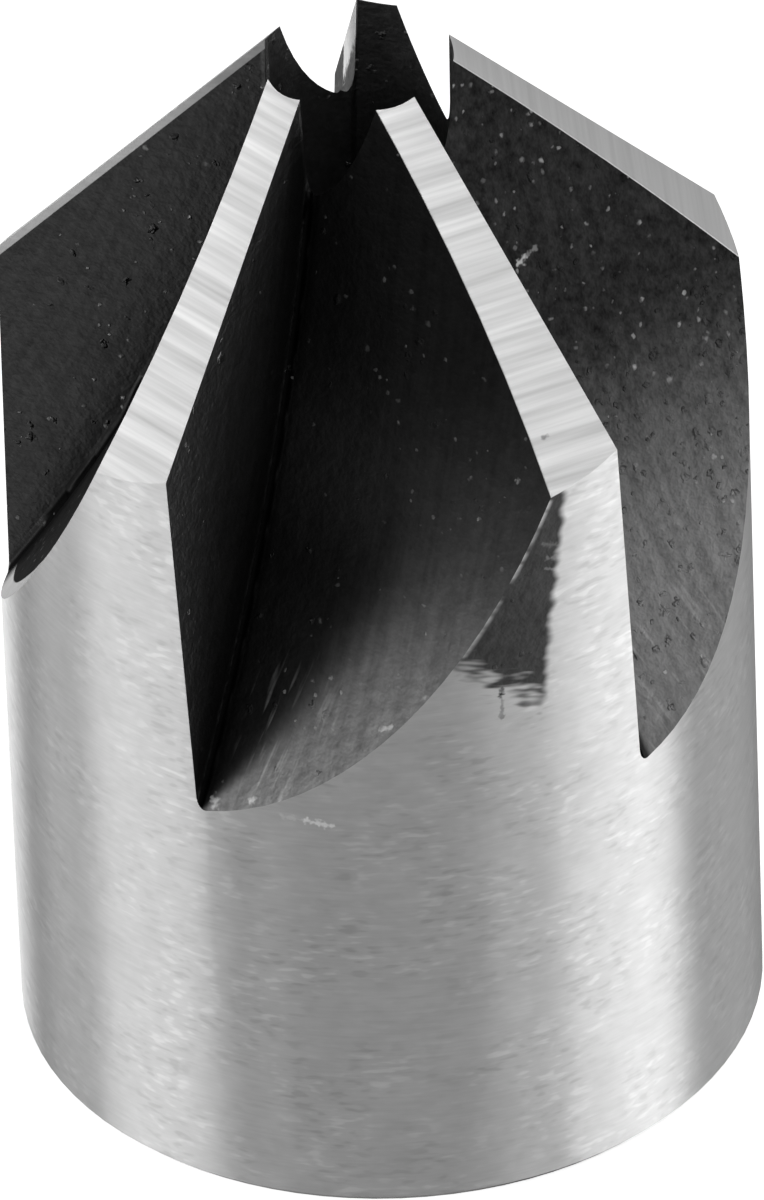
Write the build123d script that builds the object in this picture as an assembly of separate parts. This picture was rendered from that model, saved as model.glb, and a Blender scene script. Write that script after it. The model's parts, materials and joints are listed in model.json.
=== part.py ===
"""Slip-on countersink for a twist drill: a hollow five-flute cutter and the grub screw that clamps it.

Millimetres and degrees. The origin is the centre of the base, +Z runs up the tool's axis to the
cutting end, and the front of the tool faces -Y. Seen from the cutting end it turns anticlockwise,
so each tooth cuts with the wall on its anticlockwise side and its flute lies in front of that wall.
"""
import os
from itertools import cycle
from math import cos, radians, sin, sqrt, tan

from build123d import *

# Ground body
OUTSIDE_D = 16.0
SHOULDER_Z = 18.2            # height of the outer end of the cutting edges
POINT_ANGLE = 90.0           # included angle that the edges cut
BASE_CHAMFER = 0.2

# Bore, from the drill that goes through it
DRILL_D = 4.0
DRILL_PLAY = 0.05            # on the diameter
BORE_CHAMFER = 0.3

# Teeth
TEETH = 5
FIRST_EDGE_ANGLE = -122.5    # direction of the first edge's outer end, anticlockwise from +X
RADIAL_RAKE = 1.28           # the cutting face leans off the radius by this, seen from the end
AXIAL_RAKE = 2.81            # and off the axis by this, seen from the side
RELIEF_ANGLE = 15.3          # of the land behind the edge, square to the edge

# Flutes, milled by a disc cutter whose flat side makes the cutting face
CUTTER_D = 80.0
CUTTER_SIDE_ANGLE = 88.4     # between the cutter's flat side and its rim
CUTTER_CORNER_R = 0.2
CUTTER_WIDTH = 12.0
FLUTE_LENGTH = 8.3           # down the outside, from the edge's outer end to the run-out
FLUTE_DEPTH_AT_BORE = 2.3    # below the point, where the floor breaks into the bore
# The milled flutes aren't quite alike. From the first tooth on, each is cut this much deeper, and
# where a second pass widened it, that pass was turned on by this angle.
FLUTE_FEED_ERRORS = (0.0, 0.0, 0.0, 0.0, -0.15)
FLUTE_SECOND_PASSES = (0.0, 0.0, 0.0, 5.5, 0.0)

# Grub screw with a hexagon socket and a cup point, in the back of the body
SCREW_D = 4.0
SCREW_LENGTH = 5.0
SCREW_Z = 5.0
SCREW_CLEARANCE = 0.05       # between the threads, on the radius
SCREW_POINT_D = 2.0
SCREW_CUP_ANGLE = 120.0
SCREW_END_CHAMFER = 0.35
SOCKET_FLATS = 2.0
SOCKET_DEPTH = 2.2
POINT_STANDOFF = 0.3         # of the unscrewed point from the bore's wall
DRILL_POINT_ANGLE = 118.0    # of the drill that made the screw's hole
HOLE_MOUTH_CHAMFER = 0.3
HOLE_RUN_IN = 0.2            # the hole keeps its full width this far inside the bore's radius

outside_r = OUTSIDE_D / 2
bore_r = (DRILL_D + DRILL_PLAY) / 2
point_z = SHOULDER_Z + (outside_r - bore_r) / tan(radians(POINT_ANGLE / 2))
tooth_pitch = 360 / TEETH


def blank():
    """The turned blank: a cylinder with a conical end, bored right through."""
    outline = Polyline(
        (bore_r + BORE_CHAMFER, 0),
        (outside_r - BASE_CHAMFER, 0),
        (outside_r, BASE_CHAMFER),
        (outside_r, SHOULDER_Z),
        (bore_r, point_z),
        (bore_r, BORE_CHAMFER),
        close=True,
    )
    return revolve(Plane.XZ * make_face(outline), Axis.Z)


# The cutting face of a tooth whose edge ends on the +X axis: it leans back by the two rakes.
edge_end = Vector(outside_r, 0, SHOULDER_Z)
face_normal = Vector(tan(radians(RADIAL_RAKE)), 1, tan(radians(AXIAL_RAKE))).normalized()


def edge_point():
    """The inner end of the cutting edge, where the face meets the cone and the bore."""
    reach = (edge_end.X - bore_r) * face_normal.X + (edge_end.Z - point_z) * face_normal.Z
    y = reach / face_normal.Y
    x = sqrt(bore_r ** 2 - y ** 2)
    return Vector(x, y, point_z)


def flute_cutter(feed_error):
    """The disc cutter at the end of its feed, for a tooth whose edge ends on the +X axis.

    Its rim passes through two points of the flute's floor: the run-out on the outside and the
    place where the floor breaks into the bore.
    """
    run_out = Vector(outside_r - feed_error, 0, SHOULDER_Z - FLUTE_LENGTH)
    break_in = Vector(bore_r - feed_error, 0, point_z - FLUTE_DEPTH_AT_BORE)
    chord = break_in - run_out
    square = Vector(chord.Z, 0, -chord.X).normalized()
    rim_r = CUTTER_D / 2
    centre = (run_out + break_in) / 2 + square * sqrt(rim_r ** 2 - (chord.length / 2) ** 2)
    on_face = centre + face_normal * (edge_end - centre).dot(face_normal)
    far_r = rim_r - CUTTER_WIDTH / tan(radians(CUTTER_SIDE_ANGLE))
    disc = Cone(rim_r, far_r, CUTTER_WIDTH, align=(Align.CENTER, Align.CENTER, Align.MIN))
    disc = fillet(disc.edges().sort_by(Axis.Z)[0], CUTTER_CORNER_R)
    return Plane(origin=on_face, x_dir=-square, z_dir=face_normal) * disc


def land_cutter():
    """The space above the relieved land: a block whose underside holds the cutting edge."""
    edge = (edge_point() - edge_end).normalized()
    outward = Vector(1, 0, tan(radians(POINT_ANGLE / 2))).normalized()
    outward = (outward - edge * outward.dot(edge)).normalized()
    backward = edge.cross(outward)
    if backward.Y > 0:
        backward = -backward
    relief = radians(RELIEF_ANGLE)
    normal = outward * cos(relief) + backward * sin(relief)
    reach = 2 * (OUTSIDE_D + point_z)
    block = Box(reach, reach, point_z, align=(Align.CENTER, Align.CENTER, Align.MIN))
    return Plane(origin=edge_end, x_dir=edge, z_dir=normal) * block


# The grub screw points at the tool's axis from the back (+Y).
point_y = bore_r + POINT_STANDOFF
screw_axis = Plane(origin=(0, 0, SCREW_Z), x_dir=(0, 0, 1), z_dir=(0, 1, 0))


def screw_hole():
    """The tapped hole: full width up to the bore, then the drill's point, which opens into it."""
    hole_r = SCREW_D / 2 + SCREW_CLEARANCE
    full_from = bore_r - HOLE_RUN_IN
    cone_length = hole_r / tan(radians(DRILL_POINT_ANGLE / 2))
    mouth = outside_r - HOLE_MOUTH_CHAMFER
    beyond = outside_r + HOLE_MOUTH_CHAMFER
    outline = Polyline(
        (0, full_from - cone_length),
        (hole_r, full_from),
        (hole_r, mouth),
        (hole_r + beyond - mouth, beyond),
        (0, beyond),
        close=True,
    )
    return screw_axis * revolve(Plane.XZ * make_face(outline), Axis.Z)


def countersink_body():
    body = blank()
    tooth_turns = [Rot(0, 0, FIRST_EDGE_ANGLE + tooth * tooth_pitch) for tooth in range(TEETH)]
    for turn, feed_error, second_pass in zip(tooth_turns, cycle(FLUTE_FEED_ERRORS), cycle(FLUTE_SECOND_PASSES)):
        body -= turn * flute_cutter(feed_error)
        if second_pass:
            body -= turn * Rot(0, 0, second_pass) * flute_cutter(feed_error)
    for turn in tooth_turns:
        body -= turn * land_cutter()
    return body - screw_hole()


def grub_screw():
    """A set screw with a cup point towards the bore and its socket outwards."""
    screw_r = SCREW_D / 2
    point_r = SCREW_POINT_D / 2
    cup_depth = point_r / tan(radians(SCREW_CUP_ANGLE / 2))
    outline = Polyline(
        (0, cup_depth),
        (point_r, 0),
        (screw_r, screw_r - point_r),
        (screw_r, SCREW_LENGTH - SCREW_END_CHAMFER),
        (screw_r - SCREW_END_CHAMFER, SCREW_LENGTH),
        (0, SCREW_LENGTH),
        close=True,
    )
    screw = revolve(Plane.XZ * make_face(outline), Axis.Z)
    hexagon = RegularPolygon(SOCKET_FLATS / 2, 6, major_radius=False)
    screw -= Pos(0, 0, SCREW_LENGTH - SOCKET_DEPTH) * extrude(hexagon, SOCKET_DEPTH)
    return screw_axis * Pos(0, 0, point_y) * screw


parts = {
    "countersink_body": countersink_body(),
    "grub_screw": grub_screw(),
}
os.makedirs("parts", exist_ok=True)
for name, shape in parts.items():
    export_step(shape, f"parts/{name}.step")
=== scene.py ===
# %% [markdown]
# # A slip-on countersink, dressed for its picture
#
# The object is a hollow five-flute cutter that slips over a twist drill. Its outside and the narrow
# lands behind the cutting edges are ground bright. The flutes and the bore keep the dark skin that
# hardening leaves. All of its form is in the model that this script loads, so most of the work here
# is finish: each surface is found by its place on the tool and then gets its own grinding streaks,
# milling marks, scale and tone. The one new piece is the grub screw, which gets a real thread.

# %% Load the model
import json
from math import atan2, cos, degrees, pi, radians, sin, sqrt, tan

import bpy
from mathutils import Euler, Matrix, Vector


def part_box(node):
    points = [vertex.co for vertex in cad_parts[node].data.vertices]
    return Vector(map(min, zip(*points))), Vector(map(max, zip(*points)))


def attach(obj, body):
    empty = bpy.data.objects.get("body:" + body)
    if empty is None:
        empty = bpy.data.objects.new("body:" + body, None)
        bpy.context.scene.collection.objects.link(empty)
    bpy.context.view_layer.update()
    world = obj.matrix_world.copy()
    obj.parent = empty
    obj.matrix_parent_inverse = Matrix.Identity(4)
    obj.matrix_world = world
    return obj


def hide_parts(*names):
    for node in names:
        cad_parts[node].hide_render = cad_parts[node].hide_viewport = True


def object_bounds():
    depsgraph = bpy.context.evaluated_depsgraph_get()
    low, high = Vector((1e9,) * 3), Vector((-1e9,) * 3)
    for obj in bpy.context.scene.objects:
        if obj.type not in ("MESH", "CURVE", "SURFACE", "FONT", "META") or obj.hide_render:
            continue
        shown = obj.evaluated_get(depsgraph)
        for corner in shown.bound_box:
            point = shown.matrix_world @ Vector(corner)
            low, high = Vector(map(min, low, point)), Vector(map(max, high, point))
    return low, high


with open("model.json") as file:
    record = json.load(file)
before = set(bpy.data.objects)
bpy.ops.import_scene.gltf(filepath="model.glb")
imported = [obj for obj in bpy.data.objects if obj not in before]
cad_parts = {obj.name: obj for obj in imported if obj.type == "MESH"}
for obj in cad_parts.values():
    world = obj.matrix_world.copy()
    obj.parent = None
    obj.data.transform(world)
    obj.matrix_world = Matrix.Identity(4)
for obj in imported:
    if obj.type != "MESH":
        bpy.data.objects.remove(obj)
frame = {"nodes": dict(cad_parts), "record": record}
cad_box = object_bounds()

body = frame["nodes"]["countersink_body"]
cad_size = [round(1000 * length, 2) for length in cad_box[1] - cad_box[0]]
print("loaded", sorted(frame["nodes"]), "in a box of", cad_size, "mm")

# %% [markdown]
# ## The sizes that the finishes need
#
# A finish that follows the tool has to know where the tool's surfaces lie. Some sizes are read from
# the loaded model. The angles of the teeth aren't in it, so they are written here once. Everything
# below is in millimetres and degrees, because streaks and flakes are easier to judge in those units.

# %% Sizes of the tool
MM = 0.001
box_low, box_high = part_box("countersink_body")
screw_low, screw_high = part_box("grub_screw")
bore_mount = next(mount for mount in frame["record"]["mounts"] if mount["name"] == "drill_bore")

OUTSIDE_R = (box_high.x - box_low.x) / 2 / MM
BORE_R = bore_mount["dims"]["r_mm"]
POINT_Z = box_high.z / MM
SHOULDER_Z = POINT_Z - (OUTSIDE_R - BORE_R)     # the edges cut 90 degrees, so they rise as they run in
BASE_CHAMFER = 0.2
SCREW_HEIGHT = (screw_low.z + screw_high.z) / 2 / MM
SCREW_PITCH = 0.7
print(f"outside radius {OUTSIDE_R:.2f}, bore radius {BORE_R:.3f}, shoulder at {SHOULDER_Z:.2f} mm")

# %% Angles of the teeth
TOOTH_PITCH = 72.0
FIRST_EDGE_AZIMUTH = -32.5      # from the front, anticlockwise as seen from the cutting end
RADIAL_RAKE = 1.28
AXIAL_RAKE = 2.81
RELIEF_ANGLE = 15.3
FLUTE_CUTTER_R = 40.0
CUTTER_SIDE_ANGLE = 88.4
FLUTE_LENGTH = 8.3
FLUTE_DEPTH_AT_BORE = 2.3
print(f"{360 / TOOTH_PITCH:.0f} teeth, the first edge {-FIRST_EDGE_AZIMUTH} degrees left of the front")

# %% [markdown]
# ## Camera
#
# The picture was taken from the front and above with a long lens, so the tool hardly narrows with
# distance. The camera is placed by real sizes: how far it stands, how high it looks from, how much
# it leans, and how many pixels a metre covers at the tool. The middle of the tool's base is then
# moved to the pixel where the picture shows it, by sliding the camera sideways in its own plane.

# %% Camera
PHOTO_WIDTH, PHOTO_HEIGHT = 764, 1200
BASE_CENTRE_PIXEL = (392.3, 976.3)
PIXELS_PER_METRE = 46324
CAMERA_DISTANCE = 0.4124
CAMERA_ELEVATION = 36.14
CAMERA_ROLL = 2.20
FILM = 36.0


def make_camera():
    elevation, roll = radians(CAMERA_ELEVATION), radians(CAMERA_ROLL)
    level_right = Vector((1, 0, 0))
    level_up = Vector((0, sin(elevation), cos(elevation)))
    back = Vector((0, -cos(elevation), sin(elevation)))
    right = cos(roll) * level_right - sin(roll) * level_up
    up = sin(roll) * level_right + cos(roll) * level_up
    across = (BASE_CENTRE_PIXEL[0] - PHOTO_WIDTH / 2) / PIXELS_PER_METRE
    down = (BASE_CENTRE_PIXEL[1] - PHOTO_HEIGHT / 2) / PIXELS_PER_METRE
    data = bpy.data.cameras.new("camera")
    data.sensor_fit = "VERTICAL"
    data.sensor_height = FILM
    data.lens = PIXELS_PER_METRE * CAMERA_DISTANCE / PHOTO_HEIGHT * FILM
    camera = bpy.data.objects.new("camera", data)
    bpy.context.scene.collection.objects.link(camera)
    place = back * CAMERA_DISTANCE - right * across + up * down
    camera.matrix_world = Matrix.Translation(place) @ Matrix((right, up, back)).transposed().to_4x4()
    return camera


camera = make_camera()
bpy.context.scene.camera = camera
print(f"camera at {[round(v, 3) for v in camera.location]} m with a {camera.data.lens:.0f} mm lens")

# %% [markdown]
# ## Floor
#
# The tool stands on plain white paper. In the picture the paper is as white as paper can be, and the
# dark flutes of the tool don't mirror it. A real floor would fill them with light, so this one glows
# a little by itself, and is left out of reflections and out of the light that falls on the tool.

# %% Floor
FLOOR_SIZE = 6.0        # metres
PAPER_WHITE = 0.93
PAPER_GLOW = 0.8


def deselect_all():
    if bpy.context.object and bpy.context.object.mode != "OBJECT":
        bpy.ops.object.mode_set(mode="OBJECT")
    bpy.ops.object.select_all(action="DESELECT")


deselect_all()
bpy.ops.mesh.primitive_plane_add(size=FLOOR_SIZE)
floor = bpy.context.object
floor.name = "floor"
floor.visible_glossy = False
floor.visible_shadow = False
floor.visible_diffuse = False
paper = bpy.data.materials.new("white_paper")
paper.use_nodes = True
sheet = paper.node_tree.nodes["Principled BSDF"].inputs
sheet["Base Color"].default_value = (PAPER_WHITE, PAPER_WHITE, PAPER_WHITE, 1)
sheet["Roughness"].default_value = 0.9
sheet["Specular IOR Level"].default_value = 0.0
sheet["Emission Color"].default_value = (1, 1, 1, 1)
sheet["Emission Strength"].default_value = PAPER_GLOW
floor.data.materials.append(paper)
print(f"the floor is {FLOOR_SIZE:.0f} m wide and isn't reflected")

# %% [markdown]
# ## Light
#
# Polished steel is a picture of what stands round it. The light is a ring of large soft boxes, and
# each bright or grey band down the ground cylinder is the reflection of one of them. An upright wall
# that is seen from 36 degrees above mirrors what lies 36 degrees below, so the boxes that draw those
# bands hang lower than the floor, which lets their light through. The boxes that light the lands and
# the flutes stand level with the tool and above it. The ones at the back light only its hidden half.

# %% Light
LAMP_DISTANCE = 0.5                 # metres from the middle of the tool
LAMP_TARGET = Vector((0, 0, 0.012))
ROOM_LIGHT = 0.22

# Name, azimuth from the front towards +X, elevation, width and height in metres, and radiance
SOFT_BOXES = [
    ("left_front", -48, -36, 0.2, 0.2, 0.5),
    ("left_low", -78, -36, 0.30, 0.2, 1.75),
    ("left_middle", -104, -2, 0.18, 0.4, 1.8),
    ("left_high", -88, 28, 0.3, 0.24, 1.45),
    ("right_front", 48, -36, 0.2, 0.2, 0.9),
    ("right_low", 78, -36, 0.30, 0.2, 1.9),
    ("right_middle", 78, 4, 0.2, 0.3, 3.0),
    ("right_high", 62, 56, 0.288, 0.2, 2.9),
    ("right_back", 128, -34, 0.3, 0.25, 0.4),
    ("back_fill", 148, 0, 0.3, 0.3, 0.5),
    ("left_back", -150, -10, 0.3, 0.4, 2.5),
    ("front_low", 0, -40, 0.6, 0.2, 0.5),
]


def soft_box(name, azimuth, elevation, width, height, radiance):
    """A soft box that faces the tool."""
    azimuth, elevation = radians(azimuth), radians(elevation)
    level = cos(elevation)
    outward = Vector((sin(azimuth) * level, -cos(azimuth) * level, sin(elevation)))
    data = bpy.data.lights.new(name, "AREA")
    data.shape = "RECTANGLE"
    data.size, data.size_y = width, height
    data.energy = radiance * pi * width * height
    lamp = bpy.data.objects.new(name, data)
    bpy.context.scene.collection.objects.link(lamp)
    lamp.location = LAMP_TARGET + outward * LAMP_DISTANCE
    lamp.rotation_euler = outward.to_track_quat("Z", "Y").to_euler()
    return lamp


lamps = [soft_box(*row) for row in SOFT_BOXES]
world = bpy.data.worlds.new("room")
world.use_nodes = True
world.node_tree.nodes["Background"].inputs["Color"].default_value = (1, 1, 1, 1)
world.node_tree.nodes["Background"].inputs["Strength"].default_value = ROOM_LIGHT
bpy.context.scene.world = world
bpy.context.scene.view_settings.view_transform = "Standard"
print(len(lamps), "soft boxes,", sum(lamp.location.z < 0 for lamp in lamps), "of them below the floor")

# %% [markdown]
# ## Writing a finish as arithmetic
#
# A procedural finish is a formula over the surface. Node by node it is hard to read, so two small
# classes let it be written as ordinary arithmetic. A `Field` is a number that varies over the
# surface, and adding or multiplying two of them adds the Math node that does it. A `Finish` holds
# the material. Its method `node` makes any node, and the others are short names for common ones.

# %% Field


class Field:
    """A number that varies over the surface."""

    def __init__(self, finish, socket):
        self.finish = finish
        self.socket = socket

    def __add__(self, other):
        return self.finish.maths("ADD", self, other)

    def __sub__(self, other):
        return self.finish.maths("SUBTRACT", self, other)

    def __rsub__(self, other):
        return self.finish.maths("SUBTRACT", other, self)

    def __mul__(self, other):
        return self.finish.maths("MULTIPLY", self, other)

    def __truediv__(self, other):
        return self.finish.maths("DIVIDE", self, other)

    def __pow__(self, other):
        return self.finish.maths("POWER", self, other)

    def __mod__(self, other):
        return self.finish.maths("FLOORED_MODULO", self, other)

    def __abs__(self):
        return self.finish.maths("ABSOLUTE", self)

    __radd__ = __add__
    __rmul__ = __mul__


print("a Field can be added, subtracted, multiplied, divided, raised to a power and wrapped round")

# %% Finish


class Finish:
    """A material whose nodes are written as expressions."""

    def __init__(self, name):
        self.material = bpy.data.materials.new(name)
        self.material.use_nodes = True
        self.tree = self.material.node_tree
        self.tree.nodes.clear()

    def node(self, kind, settings=None, inputs=None):
        """Adds a node: its settings first, then the values or links of its sockets."""
        node = self.tree.nodes.new(kind)
        for name, value in (settings or {}).items():
            setattr(node, name, value)
        for name, value in (inputs or {}).items():
            socket = node.inputs[name]
            if isinstance(value, Field):
                value = value.socket
            if isinstance(value, bpy.types.NodeSocket):
                self.tree.links.new(value, socket)
            else:
                socket.default_value = value
        return node

    def maths(self, operation, *terms):
        inputs = dict(enumerate(terms))
        return Field(self, self.node("ShaderNodeMath", {"operation": operation}, inputs).outputs[0])

    def vector_maths(self, operation, inputs, output="Vector"):
        return self.node("ShaderNodeVectorMath", {"operation": operation}, inputs).outputs[output]

    def rise(self, value, start, end):
        """0 before start, 1 after end, and smooth between them."""
        inputs = {"Value": value, "From Min": start, "From Max": end}
        node = self.node("ShaderNodeMapRange", {"interpolation_type": "SMOOTHSTEP"}, inputs)
        return Field(self, node.outputs["Result"])

    def fall(self, value, start, end):
        return 1 - self.rise(value, start, end)

    def equal(self, value, whole_number):
        """1 where the value is that whole number."""
        return self.fall(abs(value - whole_number), 0.4, 0.6)

    def larger(self, one, other):
        return self.maths("MAXIMUM", one, other)

    def vector(self, x, y, z):
        return self.node("ShaderNodeCombineXYZ", None, {"X": x, "Y": y, "Z": z}).outputs[0]

    def grey(self, value):
        inputs = {"Red": value, "Green": value, "Blue": value}
        return self.node("ShaderNodeCombineColor", None, inputs).outputs[0]

    def noise(self, where, detail=2.0, roughness=0.5, scale=1.0):
        inputs = {"Vector": where, "Scale": scale, "Detail": detail, "Roughness": roughness}
        return Field(self, self.node("ShaderNodeTexNoise", None, inputs).outputs["Fac"])

    def spots(self, place, scale, size, share, seed=0.0, core=0.5):
        """Ragged spots of unlike size, one at most in each cell of a grid, in that share of the cells."""
        shifted = self.vector_maths("ADD", {0: place.point, 1: (seed, seed, seed)})
        cells = self.node("ShaderNodeTexVoronoi", None, {"Vector": shifted, "Scale": scale})
        colour = self.node("ShaderNodeSeparateColor", None, {"Color": cells.outputs["Color"]})
        chance, growth, weight = (Field(self, channel) for channel in colour.outputs)
        edge = (growth * 0.9 + 0.4) * size
        distance = Field(self, cells.outputs["Distance"]) + (place.grain - 0.5) * size * 2.2
        near = self.fall(distance, edge * core, edge)
        return near * self.rise(chance, 1 - share, 1.02 - share) * (weight * 0.8 + 0.3)

    def stroke(self, place, start, end, width):
        """1 on a ragged stroke between two points, and 0 beyond about that distance from it."""
        start = Vector(start)
        run = Vector(end) - start
        offset = self.vector_maths("SUBTRACT", {0: place.point, 1: start})
        done = self.vector_maths("DOT_PRODUCT", {0: offset, 1: run / run.length_squared}, "Value")
        done = self.maths("MINIMUM", self.larger(Field(self, done), 0), 1)
        reached = self.vector_maths("SCALE", {0: run, "Scale": done})
        distance = self.vector_maths("DISTANCE", {0: offset, 1: reached}, "Value")
        return self.fall(Field(self, distance) + (place.grain - 0.5) * width * 3, 0, width)


steel = Finish("hardened_and_ground_steel")
print("the body's finish is", steel.material.name)

# %% [markdown]
# ## The planes and the cone that bound a tooth
#
# Each tooth has three made surfaces: the flat land behind its edge, the flat cutting face, and the
# floor of its flute, which is the wide cone that the rim of a disc cutter sweeps. They are worked out
# once, for a tooth whose edge ends on the first axis, from the rakes and the relief. A few lines of
# geometry say what each of them is for.

# %% Planes and cone of a tooth


def land_plane():
    """The land's normal, the edge's outer end and direction, and the cutting face's normal."""
    face = Vector((tan(radians(RADIAL_RAKE)), 1, tan(radians(AXIAL_RAKE)))).normalized()
    end = Vector((OUTSIDE_R, 0, SHOULDER_Z))
    y = ((end.x - BORE_R) * face.x + (end.z - POINT_Z) * face.z) / face.y
    tip = Vector((sqrt(BORE_R ** 2 - y ** 2), y, POINT_Z))
    edge = (tip - end).normalized()
    outward = Vector((1, 0, 1)).normalized()
    outward = (outward - edge * outward.dot(edge)).normalized()
    backward = edge.cross(outward)
    if backward.y > 0:
        backward = -backward
    normal = outward * cos(radians(RELIEF_ANGLE)) + backward * sin(radians(RELIEF_ANGLE))
    return normal, end, edge, face


def cutter_centre(face, end):
    """Centre of the milling cutter's rim circle, in the plane of the cutting face."""
    run_out = Vector((OUTSIDE_R, 0, SHOULDER_Z - FLUTE_LENGTH))
    break_in = Vector((BORE_R, 0, POINT_Z - FLUTE_DEPTH_AT_BORE))
    chord = break_in - run_out
    square = Vector((chord.z, 0, -chord.x)).normalized()
    centre = (run_out + break_in) / 2 + square * sqrt(FLUTE_CUTTER_R ** 2 - (chord.length / 2) ** 2)
    return centre + face * (end - centre).dot(face)


LAND_NORMAL, EDGE_END, EDGE_LINE, FACE_NORMAL = land_plane()
CUTTER_CENTRE = cutter_centre(FACE_NORMAL, EDGE_END)
print("the flute's cutter is centred at", [round(v, 2) for v in CUTTER_CENTRE], "mm")

# %% [markdown]
# ## Places on the tool
#
# The body is one solid, so its surfaces are told apart by where they lie. The distance from the axis
# finds the cylinder and the bore. The teeth repeat every 72 degrees, so the azimuth is folded into
# one tooth, and a plain sum then gives the height above that tooth's ground land, the distance in
# front of its cutting face and the distance from the axis of the cutter that milled its flute.

# %% Places
LAND_STARTS = -60.0      # a tooth's own stretch of the circle, from this azimuth off its edge
FLUTE_STARTS = -10.0     # and the stretch of the flute that its cutting face faces


def along(folded, direction, origin):
    """How far a folded point lies from the origin in that direction."""
    parts = [folded[axis] * direction[axis] for axis in range(3)]
    return parts[0] + parts[1] + parts[2] - direction.dot(origin)


class Places:
    """Where a point of the surface lies on the tool, in millimetres and degrees."""

    def __init__(self, finish):
        self.finish = finish
        texture = finish.node("ShaderNodeTexCoord")
        self.point = finish.vector_maths("SCALE", {0: texture.outputs["Object"], "Scale": 1 / MM})
        split = finish.node("ShaderNodeSeparateXYZ", None, {0: self.point})
        self.x, self.y, self.z = (Field(finish, split.outputs[axis]) for axis in "XYZ")
        self.radius = (self.x * self.x + self.y * self.y) ** 0.5
        self.azimuth = finish.maths("ARCTAN2", self.x, self.y * -1) * degrees(1)
        normal = finish.node("ShaderNodeSeparateXYZ", None, {0: texture.outputs["Normal"]})
        normal_x, normal_y = (Field(finish, normal.outputs[axis]) for axis in "XY")
        self.faces_outwards = (self.x * normal_x + self.y * normal_y) / self.radius
        self.grain = finish.noise(self.point, detail=1.0, roughness=0.6, scale=9.0)
        self.find_land()
        self.find_flute()

    def fold(self, starts):
        """Turns the point back to the first axis: which tooth it was, then its coordinates there."""
        turned = self.azimuth - (FIRST_EDGE_AZIMUTH + starts)
        tooth = self.finish.maths("FLOOR", turned / TOOTH_PITCH)
        angle = (turned % TOOTH_PITCH + starts) * radians(1)
        out = self.radius * self.finish.maths("COSINE", angle)
        side = self.radius * self.finish.maths("SINE", angle)
        return tooth, (out, side, self.z)

    def find_land(self):
        """Above the ground land, along its edge and across it."""
        self.land_number, folded = self.fold(LAND_STARTS)
        self.above_land = along(folded, LAND_NORMAL, EDGE_END)
        self.along_edge = along(folded, EDGE_LINE, EDGE_END)
        self.across_land = along(folded, LAND_NORMAL.cross(EDGE_LINE), EDGE_END)

    def find_flute(self):
        """In front of the cutting face, along the flute, and above its milled floor."""
        self.flute_number, folded = self.fold(FLUTE_STARTS)
        self.before_face = along(folded, FACE_NORMAL, CUTTER_CENTRE)
        out, side, up = (folded[axis] - CUTTER_CENTRE[axis] for axis in range(3))
        squared = out * out + side * side + up * up
        self.from_cutter_axis = (squared - self.before_face * self.before_face) ** 0.5
        self.out = folded[0]
        run_out = atan2(SHOULDER_Z - FLUTE_LENGTH - CUTTER_CENTRE.z, CUTTER_CENTRE.x - OUTSIDE_R)
        self.up_flute = (self.finish.maths("ARCTAN2", up, out * -1) - run_out) * FLUTE_CUTTER_R
        rim_r = FLUTE_CUTTER_R - self.before_face / tan(radians(CUTTER_SIDE_ANGLE))
        self.above_floor = rim_r - self.from_cutter_axis


place = Places(steel)
in_left_flute = steel.equal(place.flute_number, -1)
in_front_flute = steel.equal(place.flute_number, 0)
in_right_flute = steel.equal(place.flute_number, 1)
print("the places on the tool take", len(steel.tree.nodes), "nodes")

# %% [markdown]
# ## Which surfaces are ground
#
# Two skins meet on this tool. The grinding wheel has touched the cylinder, the land behind each edge
# and the base. Each of these gets a mask, a field that is 1 on it and 0 elsewhere. The rest has the
# dark skin. On the right the base's chamfer is given the dark skin too, as a painted dark
# reflection, so its mask stops there.

# %% Ground surfaces
cylinder = steel.rise(place.radius, OUTSIDE_R - 0.04, OUTSIDE_R - 0.03)
cylinder = cylinder * steel.rise(place.faces_outwards, 0.95, 0.97)
land = steel.fall(abs(place.above_land), 0.008, 0.02)
land = land * steel.rise(place.z, SHOULDER_Z - 2.1, SHOULDER_Z - 2.0)
# painted dark reflection: on this side the foot's chamfer gets the dark skin instead of the ground one
painted_dark_side = steel.rise(place.azimuth, 5, 20) * steel.fall(place.azimuth, 72, 78)
foot = steel.fall(place.z, BASE_CHAMFER - 0.01, BASE_CHAMFER) * (1 - painted_dark_side)
print("masks for the cylinder, the lands and the foot, made of", len(steel.tree.nodes), "nodes so far")

# %% [markdown]
# ## Where the dark skin is worn or ground through
#
# Handling and regrinding take the dark skin off along edges. The left tooth has a narrow bright
# margin down its face, next to the cutting edge, and the back tooth has a wider, ragged one. The rim
# of the left flute is rounded and bright where the flute runs out on the cylinder.

# %% Worn edges
on_face = steel.fall(abs(place.before_face), 0.02, 0.04)
below_edge = place.above_land * -1
narrow_margin = on_face * steel.fall(below_edge, 0.15, 0.17) * in_left_flute

on_back_tooth = steel.equal(place.flute_number, -2) + steel.equal(place.flute_number, 3)
ragged = (place.grain - 0.5) * 0.8
wide_margin = steel.fall(below_edge + ragged, 0.62, 0.74) * steel.fall(place.radius + ragged, 5.3, 5.5)
edge_margin = steel.larger(narrow_margin, on_face * on_back_tooth * wide_margin)

rim_starts = 7.70 + steel.rise(place.z, 12.5, 15.5) * 0.3
worn_rim = steel.rise(place.radius - rim_starts, 0, 0.03) * in_left_flute
worn_rim = worn_rim * steel.rise(place.azimuth, -100, -92)
worn_rim = worn_rim * steel.rise(place.before_face, 0.3, 0.4) * 0.35
print("bright margins on two teeth and a worn rim")

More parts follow.
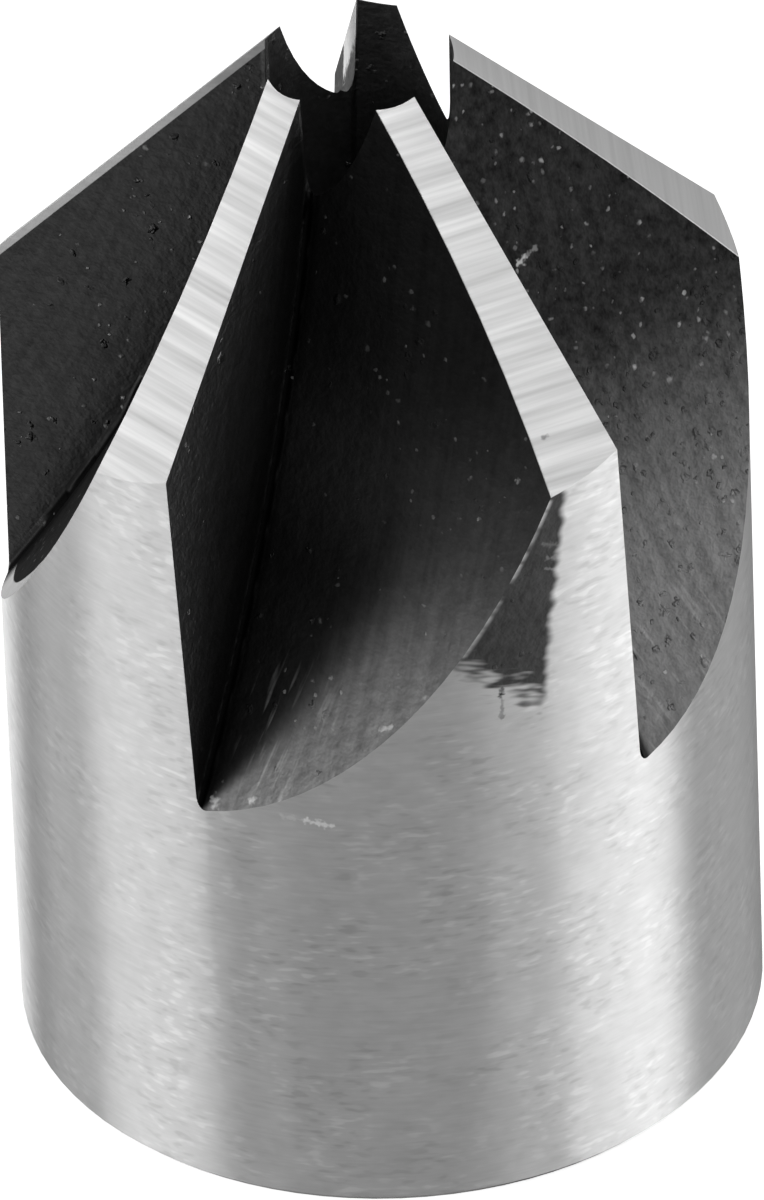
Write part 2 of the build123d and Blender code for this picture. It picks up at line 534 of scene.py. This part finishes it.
# %% [markdown]
# ## The patch that the grinding wheel missed
#
# Behind the front flute the blank was a little low, and the wheel left a stretch of the dark skin on
# the cylinder. Its sides are frayed along the grinding grooves, so noise that is drawn out round the
# tool moves its border, and a short dark tail runs down from it. Where the patch meets the flute a
# broken burr shines. The whole is a mask that takes the ground skin away again.

# %% Missed patch
STRONG_TAIL = ((2.53, -7.59, 13.42), (2.51, -7.60, 13.05), 0.09)
WEAK_TAIL = ((2.51, -7.60, 13.05), (2.50, -7.60, 12.44), 0.06)

level = place.z + place.azimuth * 0.03
streaks = steel.noise(steel.vector(place.azimuth * 0.2, 0, level * 5.5), detail=1.0)
waves = steel.noise(steel.vector(place.azimuth * 0.1, 3, place.z * 3.5), detail=1.0)
right_edge = 29.4 - (17.4 - place.z) * 0.96 + (waves - 0.5) * 2.4
bottom = 13.95 - (place.azimuth - 12.8) * 0.109 + (streaks - 0.5) * 2.4
patch = steel.fall(place.azimuth - right_edge, -0.8, 0.8) * steel.rise(place.z - bottom, -0.4, 0.35)
patch = patch * steel.rise(place.azimuth, 5, 6) * steel.fall(place.azimuth, 35, 36)
tail = steel.stroke(place, *STRONG_TAIL) + steel.stroke(place, *WEAK_TAIL) * 0.6
patch = steel.larger(patch, tail * 0.8)

broken = steel.noise(steel.vector(place.up_flute * 1.6, 0, 0), detail=2.0, roughness=0.7)
burr = steel.fall(abs(place.above_floor), 0.0, 0.11) * in_front_flute
burr = burr * steel.rise(place.z, 13.4, 14.2) * steel.rise(broken, 0.40, 0.56) * 0.75
print("the patch and its burr bring the finish to", len(steel.tree.nodes), "nodes")

# %% [markdown]
# ## The ground skin
#
# A grinding wheel leaves fine grooves that run round the tool, with short light and dark dashes in
# them. They are noise that is squeezed in height, so that each speck is drawn out sideways. On the
# lands the wheel crossed the tooth at a slant, so there the streaks follow the land's own directions
# and differ from tooth to tooth. A scratch and a chip are the marks that the picture shows.

# %% Tone and grooves of the cylinder
OUTSIDE_TONE = 0.60
SCRATCH = ((-1.67, -7.82, 10.14), (-1.14, -7.91, 10.02), 0.10)
SCRATCH_START = ((-2.2, -7.69, 10.18), (-1.67, -7.82, 10.13), 0.08)

hairs = steel.vector(place.x * 0.8, place.y * 0.8, place.z * 14.0)
hairs = steel.noise(hairs, detail=1.0, roughness=0.6)
dashes = steel.vector(place.x * 2.0, place.y * 2.8, place.z * 6.5)
dashes = steel.noise(dashes, detail=1.0, roughness=0.5)
clouds = steel.vector(place.x * 1.1, place.y * 1.1, place.z * 1.3)
clouds = steel.noise(clouds, detail=2.0, roughness=0.6)
dense = steel.rise(steel.noise(place.point, detail=1.0, scale=0.55), 0.40, 0.60)
dense = (0.35 + dense) * (0.65 + steel.fall(abs(place.azimuth), 25, 55) * 0.35)
light_dashes = steel.rise(dashes, 0.54, 0.72) * dense
dark_dashes = steel.fall(dashes, 0.28, 0.46) * dense
scratch = steel.stroke(place, *SCRATCH) + steel.stroke(place, *SCRATCH_START) * 0.3
outside_tone = OUTSIDE_TONE + (hairs - 0.5) * 0.10 + (clouds - 0.5) * 0.14
outside_tone = outside_tone + light_dashes * 0.085 - dark_dashes * 0.07 + scratch * 0.4
outside_height = hairs * 0.4 + dashes * 0.4
print("the cylinder's tone and grooves are made")

# %% Tone and grooves of the lands
LAND_TONE = 0.63
CHIP = ((3.58, -6.25, 18.66), (3.62, -6.22, 18.62), 0.08)

slanted = place.along_edge - place.across_land * 0.2
bands = steel.noise(steel.vector(slanted * 2.6, 0, place.land_number * 9.0), detail=0.0)
scores = steel.vector(slanted * 7.0, place.across_land * 0.25, place.land_number * 5.0)
scores = steel.noise(scores, detail=2.0)
on_front_lands = steel.equal(place.land_number, 0) + steel.equal(place.land_number, 1)
contrast = 0.35 + on_front_lands * 0.65
land_tone = LAND_TONE + ((scores - 0.5) * 0.46 + (bands - 0.5) * 0.42) * contrast
land_tone = land_tone - steel.stroke(place, *CHIP) * 0.3
ground_tone = outside_tone + (land_tone - outside_tone) * land
ground_height = outside_height + (scores - outside_height) * land
print("with the lands the finish has", len(steel.tree.nodes), "nodes")

# %% [markdown]
# ## The dark skin: how light it is
#
# In the furnace the steel takes a dark skin. It is nearly black in the depth of the flutes and grey
# near their run-outs, and much of that is painted light and shade: the floor is painted lighter low
# down and where it sees out past the tooth in front of it, and painted darker where that tooth would
# shade it. The tone follows the place: height in the flute, distance from the cutting face, and how
# far the floor sees out past the face's outer edge. The corner beside each cutting face and its
# fillet are painted darkest, as painted shade.

# %% Tone of the dark skin
OUTSIDE_SKIN_TONE = 0.076       # where the skin was left on the cylinder
BORE_TONE = 0.16

# painted light: the floors are painted lighter low down, the right flute's lower still, where the side
# lamps reach them
low = steel.fall(place.z, 12.5, 20.0)
low = low + (steel.fall(place.z, 12.0, 18.2) * 1.38 - low) * in_right_flute
# how far a floor point sees out past the outer edge of its cutting face; a painted pool of light and a
# painted shadow follow it
opening_past_face = place.before_face / (OUTSIDE_R + 0.05 - place.out)
# painted light: the front flute's floor is painted lighter where it sees out past the neighbouring tooth
painted_light_past_tooth = steel.rise(opening_past_face, 0.9, 2.0) * steel.fall(place.z, 12.6, 16.5) * in_front_flute
tone = 0.026 + in_front_flute * 0.008 + low * (0.13 - in_left_flute * 0.115) + painted_light_past_tooth * 0.17
# painted shadow: the front flute's floor is darkened where the tooth in front of it would shade it, less
# high up
painted_shadow_strength = 0.8 - steel.rise(place.z, 14.5, 17.5) * 0.5
tone = tone * (1 - steel.fall(opening_past_face, 0.8, 1.6) * in_front_flute * painted_shadow_strength)

# painted shade: the floor beside each cutting face, the corner and its fillet are darkened
on_floor = steel.fall(abs(place.above_floor), 0.25, 0.4)
painted_shade_beside_face = steel.fall(place.before_face, 0.1, 1.5) * on_floor
painted_shade_beside_face = painted_shade_beside_face * (1 - in_right_flute - in_front_flute)
tone = tone * (1 - painted_shade_beside_face * (0.75 - in_left_flute * 0.35))
near_face = steel.fall(abs(place.before_face), 0.02, 0.1)
# painted light: the cutting faces get a tone of their own, and the front flute's face is painted lighter
tone = tone + (0.066 + in_front_flute * 0.10 - tone) * near_face
painted_corner_shade = steel.fall(abs(place.above_floor), 0.25, 0.4 + in_front_flute * 0.8)
painted_corner_shade = painted_corner_shade * steel.fall(place.before_face, 0.2, 0.35)
tone = tone * (1 - painted_corner_shade * (0.85 - in_left_flute * 0.6 - in_front_flute * 0.45))
# painted shade on the fillet, which would otherwise show a light line of reflection
painted_fillet_shade = steel.maths("MINIMUM", place.before_face, place.above_floor)
painted_fillet_shade = steel.rise(painted_fillet_shade, 0.005, 0.03) * steel.fall(place.before_face, 0.2, 0.35)
tone = tone * (1 - painted_fillet_shade * (1 - in_left_flute) * 0.9)

in_bore = steel.fall(place.faces_outwards, -0.95, -0.9)
face_end = near_face * steel.fall(place.radius, BORE_R + 0.05, BORE_R + 0.12)
tone = tone + (BORE_TONE - tone) * in_bore + face_end * 0.07
tone = tone + (OUTSIDE_SKIN_TONE - tone) * cylinder
print("the dark skin's tone brings the finish to", len(steel.tree.nodes), "nodes")

# %% [markdown]
# ## The dark skin: milling lines, scale and flakes
#
# The milling cutter left fine lines along each flute, under the skin. Scale stands up from it in
# small crusts, and where a crust has come off, a bare fleck shines. Flakes crowd in some places and
# are rare in others, most of all high in the right flute, so wide noise moves the share of cells
# that hold one.

# %% Milling lines, scale and flakes
lines = steel.vector(place.before_face * 5.0, place.from_cutter_axis * 5.0, place.up_flute * 0.25)
milling = steel.noise(lines, detail=2.0, roughness=0.65)
mottle = steel.noise(place.point, detail=1.0, roughness=0.6, scale=3.0) * 0.6 + place.grain * 0.4
upper_right = in_right_flute * steel.rise(place.z, 14.0, 18.0)
crowded = steel.rise(steel.noise(place.point, detail=1.0, scale=0.5), 0.46, 0.62)
crowded = crowded * (1 - in_front_flute * steel.fall(place.before_face, 1.0, 2.0) * 0.8)
crowded = steel.larger(crowded, upper_right * 0.8)
scaled = in_right_flute * steel.rise(place.z, 10.0, 11.5) * steel.fall(place.z, 16.5, 18.5)
flakes = steel.spots(place, 5.0, 0.32, 0.03 + crowded * 0.30, seed=31.0, core=0.2)
large_flakes = steel.spots(place, 2.4, 0.18, 0.03 + crowded * 0.14, seed=57.0, core=0.2)
scales = steel.spots(place, 3.6, 0.40, 0.03 + crowded * 0.12 + scaled * 0.6, core=0.0)
print("with milling lines, scale and flakes the finish has", len(steel.tree.nodes), "nodes")

# %% [markdown]
# ## The dark skin: scrapes and single marks
#
# Chips leave the front flute at its foot and have scraped it in a fan of fine bright lines. These
# come from noise that is drawn out along the fan. The marks that the picture shows one by one are
# each a stroke between two points: a nick high beside the front right land, bright specks at the
# foot of the front flute, and thin places in the missed patch.

# %% Scrapes and single marks
NICK = (
    ((3.19, -1.17, 19.48), (3.58, -0.82, 19.63), 0.07, 0.5),
    ((3.21, -1.15, 19.48), (3.32, -1.05, 19.52), 0.11, 1.0),
)
BARE_SPECKS = (
    ((-0.01, -7.81, 12.44), (0.20, -7.90, 12.53), 0.08, 1.0),
    ((-3.60, -7.02, 10.22), (-3.57, -7.04, 10.02), 0.13, 1.0),
    ((-2.82, -7.36, 10.42), (-2.77, -7.40, 10.40), 0.10, 1.0),
)
THIN_PLACES = (
    ((3.57, -7.16, 16.20), (3.85, -7.01, 16.10), 0.09, 1.0),
    ((3.50, -7.19, 15.95), (3.80, -7.04, 15.85), 0.05, 1.0),
    ((3.50, -7.19, 16.58), (3.83, -7.02, 16.43), 0.08, 0.6),
)


def strokes(marks):
    """Several strokes in one field. Each is a start, an end, a width and a strength."""
    total = 0
    for start, end, width, strength in marks:
        total = steel.stroke(place, start, end, width) * strength + total
    return total


fanned = place.before_face - place.up_flute * (0.2 - in_right_flute * 0.45)
threads = steel.vector(fanned * 4.8, place.up_flute * 0.5, place.flute_number * 7.0)
threads = steel.rise(steel.noise(threads, detail=2.0, roughness=0.6), 0.54, 0.70)
front_scrapes = in_front_flute * steel.fall(fanned, 1.6, 2.4) * steel.rise(place.before_face, 0.2, 1.2)
scraped = steel.fall(place.z, 11.8, 13.6) * (1 - near_face) * threads
scraped = scraped * (front_scrapes * 0.24 + in_right_flute * 0.08)

tone = tone * (1 + (mottle - 0.5) * (0.8 + upper_right * 1.8) + (milling - 0.5) * 0.7)
tone = tone + (flakes * 0.26 + large_flakes * 0.26) * (1 - cylinder) + scraped + scales * 0.012
tone = tone + strokes(NICK) * 0.32 + strokes(BARE_SPECKS) * 0.36 + strokes(THIN_PLACES) * 0.13 * cylinder
print("with its scrapes and marks the finish has", len(steel.tree.nodes), "nodes")

# %% [markdown]
# ## The thread in the screw's hole
#
# The hole in the back is tapped, and the screw slides in it without turning when the clamp is shown
# at its limits, so threads of metal on both would cut through each other. The screw gets the real
# thread, and the wall of the hole gets grooves in its bump, a helix round the hole's own axis.

# %% Tapped hole
HOLE_R = 2.1

from_screw_axis = place.x * place.x + (place.z - SCREW_HEIGHT) * (place.z - SCREW_HEIGHT)
in_hole = steel.fall(from_screw_axis ** 0.5, HOLE_R - 0.02, HOLE_R + 0.02) * steel.rise(place.y, 1.0, 2.0)
turn = steel.maths("ARCTAN2", place.x, place.z - SCREW_HEIGHT) / (2 * pi)
thread = abs((place.y / SCREW_PITCH + turn) % 1.0 - 0.5) * in_hole
# painted shade: the thread's roots are painted darker than its crests, following its bump
dark_tone = tone + (0.05 + thread * 0.2 - tone) * in_hole
dark_roughness = 0.55 - near_face * 0.17 + in_left_flute * (1 - near_face) * 0.35
dark_height = mottle * (1.2 - in_left_flute * 0.5) + scales * 1.6 + flakes * 0.5 + thread * 12.0
print("the hole is at", round(SCREW_HEIGHT, 2), "mm above the base")

# %% [markdown]
# ## The two steels, and the choice between them
#
# The ground steel's fine grooves spread a reflection across themselves, so its highlight is drawn
# out along the tool's axis, which is what turns a lamp into a tall band. The dark steel is nearly
# matt and tinted dark at its edges too. The mask of all that is ground mixes one into the other.

# %% Body material
grooves = {"Strength": 0.25, "Distance": 0.004 * MM, "Height": ground_height}
ground_bump = steel.node("ShaderNodeBump", None, grooves)
dents = {"Strength": 0.8, "Distance": 0.04 * MM, "Height": dark_height}
dark_bump = steel.node("ShaderNodeBump", None, dents)
tangent = steel.node("ShaderNodeTangent", {"direction_type": "RADIAL", "axis": "Z"})
bright = steel.node("ShaderNodeBsdfPrincipled", None, {
    "Base Color": steel.grey(ground_tone),
    "Metallic": 1.0,
    "Roughness": 0.38,
    "Anisotropic": 0.75,
    "Anisotropic Rotation": 0.25,
    "Normal": ground_bump.outputs[0],
    "Tangent": tangent.outputs[0],
})
dark = steel.node("ShaderNodeBsdfPrincipled", None, {
    "Base Color": steel.grey(dark_tone),
    "Metallic": 1.0,
    "Specular Tint": (0.35, 0.35, 0.35, 1),
    "Roughness": dark_roughness,
    "Normal": dark_bump.outputs[0],
})
ground = steel.larger(cylinder * (1 - patch), steel.larger(land, foot))
ground = steel.larger(ground, steel.larger(edge_margin, worn_rim))
ground = steel.larger(ground, burr * cylinder)
skin = steel.node("ShaderNodeMixShader", None, {0: ground, 1: dark.outputs[0], 2: bright.outputs[0]})
steel.node("ShaderNodeOutputMaterial", None, {"Surface": skin.outputs[0]})
body.material_slots[0].material = steel.material
print("the body's finish has", len(steel.tree.nodes), "nodes")

# %% [markdown]
# ## The grub screw: its blank
#
# The screw that clamps the tool on its drill sits in the back. Its plain solid is replaced by one
# with a cut M4 thread. It starts as a cylinder, and each end face is inset and its rim drawn in, which
# makes the chamfers in the same way as a lathe does. The steps of the thread will meet the corners
# of this cylinder, so both have the same number of them.

# %% Sizes of the screw
SCREW_R = 2.0 * MM
SCREW_LENGTH = 5.0 * MM
THREAD_PITCH = SCREW_PITCH * MM
THREAD_DEPTH = 0.43 * MM
THREAD_STEPS = 40               # a turn
SCREW_END_CHAMFER = 0.35 * MM
CUP_R = 1.0 * MM
CUP_ANGLE = 120.0
SOCKET_FLATS = 2.0 * MM
SOCKET_DEPTH = 2.2 * MM
TOUCHING = 0.01 * MM            # nearer than this counts as touching
print(f"an M4 screw, {SCREW_LENGTH / MM:.0f} mm long, with a pitch of {THREAD_PITCH / MM:.1f} mm")

# %% Screw blank


def named(name):
    """The piece that an operator has just made, with its name."""
    piece = bpy.context.object
    piece.name = name
    return piece


def chamfer_end(blank, at_top, inset, drop):
    """Insets one end face of the blank and draws the rim in along the axis."""
    bpy.ops.object.mode_set(mode="EDIT")
    bpy.ops.mesh.select_all(action="DESELECT")
    bpy.ops.object.mode_set(mode="OBJECT")
    for face in blank.data.polygons:
        face.select = abs(face.normal.z) > 0.9 and (face.normal.z > 0) == at_top
    bpy.ops.object.mode_set(mode="EDIT")
    bpy.ops.mesh.inset(thickness=inset, depth=0)
    bpy.ops.mesh.select_all(action="DESELECT")
    bpy.ops.object.mode_set(mode="OBJECT")
    end_z = SCREW_LENGTH / 2 if at_top else -SCREW_LENGTH / 2
    for vertex in blank.data.vertices:
        on_rim = vertex.co.xy.length > SCREW_R - TOUCHING
        vertex.select = on_rim and abs(vertex.co.z - end_z) < TOUCHING
    bpy.ops.object.mode_set(mode="EDIT")
    bpy.ops.transform.translate(value=(0, 0, -drop if at_top else drop))
    bpy.ops.object.mode_set(mode="OBJECT")


deselect_all()
bpy.ops.mesh.primitive_cylinder_add(vertices=THREAD_STEPS, radius=SCREW_R, depth=SCREW_LENGTH,
                                    location=(0, 0, SCREW_LENGTH / 2))
screw = named("screw_blank")
chamfer_end(screw, False, SCREW_R - CUP_R, SCREW_R - CUP_R)
chamfer_end(screw, True, SCREW_END_CHAMFER, SCREW_END_CHAMFER)
print("the blank has", len(screw.data.polygons), "faces")

# %% [markdown]
# ## The grub screw: its thread
#
# A thread can be a ridge laid on a core or a groove cut into a blank. A groove is what a die makes,
# and it runs out over the chamfers as on a real screw, so the profile of the groove is wound up the
# axis with the Screw modifier, closed at both ends, and taken away from the blank.

# %% Thread
FLANK_ANGLE = 30.0
MOUTH_BEYOND = 0.05 * MM        # the groove's mouth stands this far outside the screw


def take_away(piece, tool):
    """Cuts the tool's shape out of the piece and removes the tool."""
    cut = piece.modifiers.new("cut", "BOOLEAN")
    cut.operation = "DIFFERENCE"
    cut.solver = "EXACT"
    cut.object = tool
    deselect_all()
    bpy.context.view_layer.objects.active = piece
    piece.select_set(True)
    bpy.ops.object.modifier_apply(modifier=cut.name)
    bpy.data.objects.remove(tool)


def thread_groove():
    """A V-groove that winds up the screw and past both of its ends."""
    outer = SCREW_R + MOUTH_BEYOND
    root = SCREW_R - THREAD_DEPTH
    half_root = THREAD_PITCH / 16
    half_mouth = half_root + (outer - root) * tan(radians(FLANK_ANGLE))
    deselect_all()
    bpy.ops.mesh.primitive_plane_add(size=THREAD_DEPTH, location=(0, 0, 0))
    groove = named("thread_groove")
    corners = [(root, -half_root), (outer, -half_mouth), (root, half_root), (outer, half_mouth)]
    for vertex, (x, z) in zip(groove.data.vertices, corners):
        vertex.co = (x, 0, z - THREAD_PITCH * 1.5)
    bpy.ops.object.mode_set(mode="EDIT")
    bpy.ops.mesh.select_all(action="SELECT")
    bpy.ops.mesh.delete(type="ONLY_FACE")
    bpy.ops.object.mode_set(mode="OBJECT")
    wind = groove.modifiers.new("wind", "SCREW")
    wind.axis = "Z"
    wind.screw_offset = THREAD_PITCH
    wind.iterations = int(SCREW_LENGTH / THREAD_PITCH) + 3
    wind.steps = wind.render_steps = THREAD_STEPS
    bpy.ops.object.modifier_apply(modifier=wind.name)
    bpy.ops.object.mode_set(mode="EDIT")
    bpy.ops.mesh.select_all(action="DESELECT")
    bpy.ops.mesh.select_non_manifold()
    bpy.ops.mesh.fill_holes(sides=0)
    bpy.ops.mesh.select_all(action="SELECT")
    bpy.ops.mesh.normals_make_consistent(inside=False)
    bpy.ops.object.mode_set(mode="OBJECT")
    return groove


take_away(screw, thread_groove())
print("with its thread the screw has", len(screw.data.polygons), "faces")

# %% [markdown]
# ## The grub screw: its socket, point and place
#
# The socket is a hexagonal hole for a 2 mm key and the point is a shallow cup, whose rim bites the
# drill. Both are also taken away. The screw is then turned to lie along its hole, and its place is
# applied to its mesh, so that its object sits at the origin as the others do.
#
# One fault is known and still open. The blank's origin is its middle, and the last lines move that
# to where the point belongs. So the screw lies half its length deeper than the plain solid: its
# point stands past the middle of the bore, and its thread cuts 0.35 mm into the wall on both sides.
# Adding SCREW_LENGTH / 2 to its y would put it right.

# %% Socket, point and place
deselect_all()
corner_r = SOCKET_FLATS / 2 / cos(pi / 6)
bpy.ops.mesh.primitive_cylinder_add(vertices=6, radius=corner_r, depth=SOCKET_DEPTH * 2,
                                    location=(0, 0, SCREW_LENGTH))
take_away(screw, named("socket_cutter"))
deselect_all()
cup_depth = CUP_R / tan(radians(CUP_ANGLE / 2))
bpy.ops.mesh.primitive_cone_add(vertices=THREAD_STEPS, radius1=CUP_R * 1.5, radius2=0,
                                depth=cup_depth * 1.5, location=(0, 0, cup_depth / 4))
take_away(screw, named("cup_cutter"))

deselect_all()
screw.select_set(True)
bpy.context.view_layer.objects.active = screw
screw.name = "threaded_grub_screw"
screw.rotation_euler = Euler((-pi / 2, 0, 0))
screw.location = (0, screw_low.y, SCREW_HEIGHT * MM)
bpy.ops.object.transform_apply(location=True, rotation=True, scale=True)
bpy.ops.object.shade_smooth_by_angle(angle=radians(35))
print("the threaded screw has", len(screw.data.polygons), "faces")

# %% [markdown]
# ## The grub screw: its finish
#
# Such screws are sold with a thin black oxide on them, a chemical colour rather than a paint. It is
# dark and a little glossy, and its fine grain shows only in a grazing light, so one noise makes both
# the small changes of tone and the bump. The screw then stands for its plain solid and rides with it.

# %% Black oxide
OXIDE_TONE = 0.035


def oxide_black():
    finish = Finish("oxide_black_steel")
    texture = finish.node("ShaderNodeTexCoord")
    point = finish.vector_maths("SCALE", {0: texture.outputs["Object"], "Scale": 1 / MM})
    grain = finish.noise(point, detail=4.0, roughness=0.6, scale=6.0)
    bump = finish.node("ShaderNodeBump", None, {"Strength": 0.3, "Distance": 0.01 * MM, "Height": grain})
    skin = finish.node("ShaderNodeBsdfPrincipled", None, {
        "Base Color": finish.grey(OXIDE_TONE + (grain - 0.5) * 0.03),
        "Roughness": 0.38,
        "Normal": bump.outputs[0],
    })
    finish.node("ShaderNodeOutputMaterial", None, {"Surface": skin.outputs[0]})
    return finish.material


screw.data.materials.clear()
screw.data.materials.append(oxide_black())
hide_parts("grub_screw")
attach(screw, "screw")
print(screw.name, "stands for grub_screw and rides on screw")
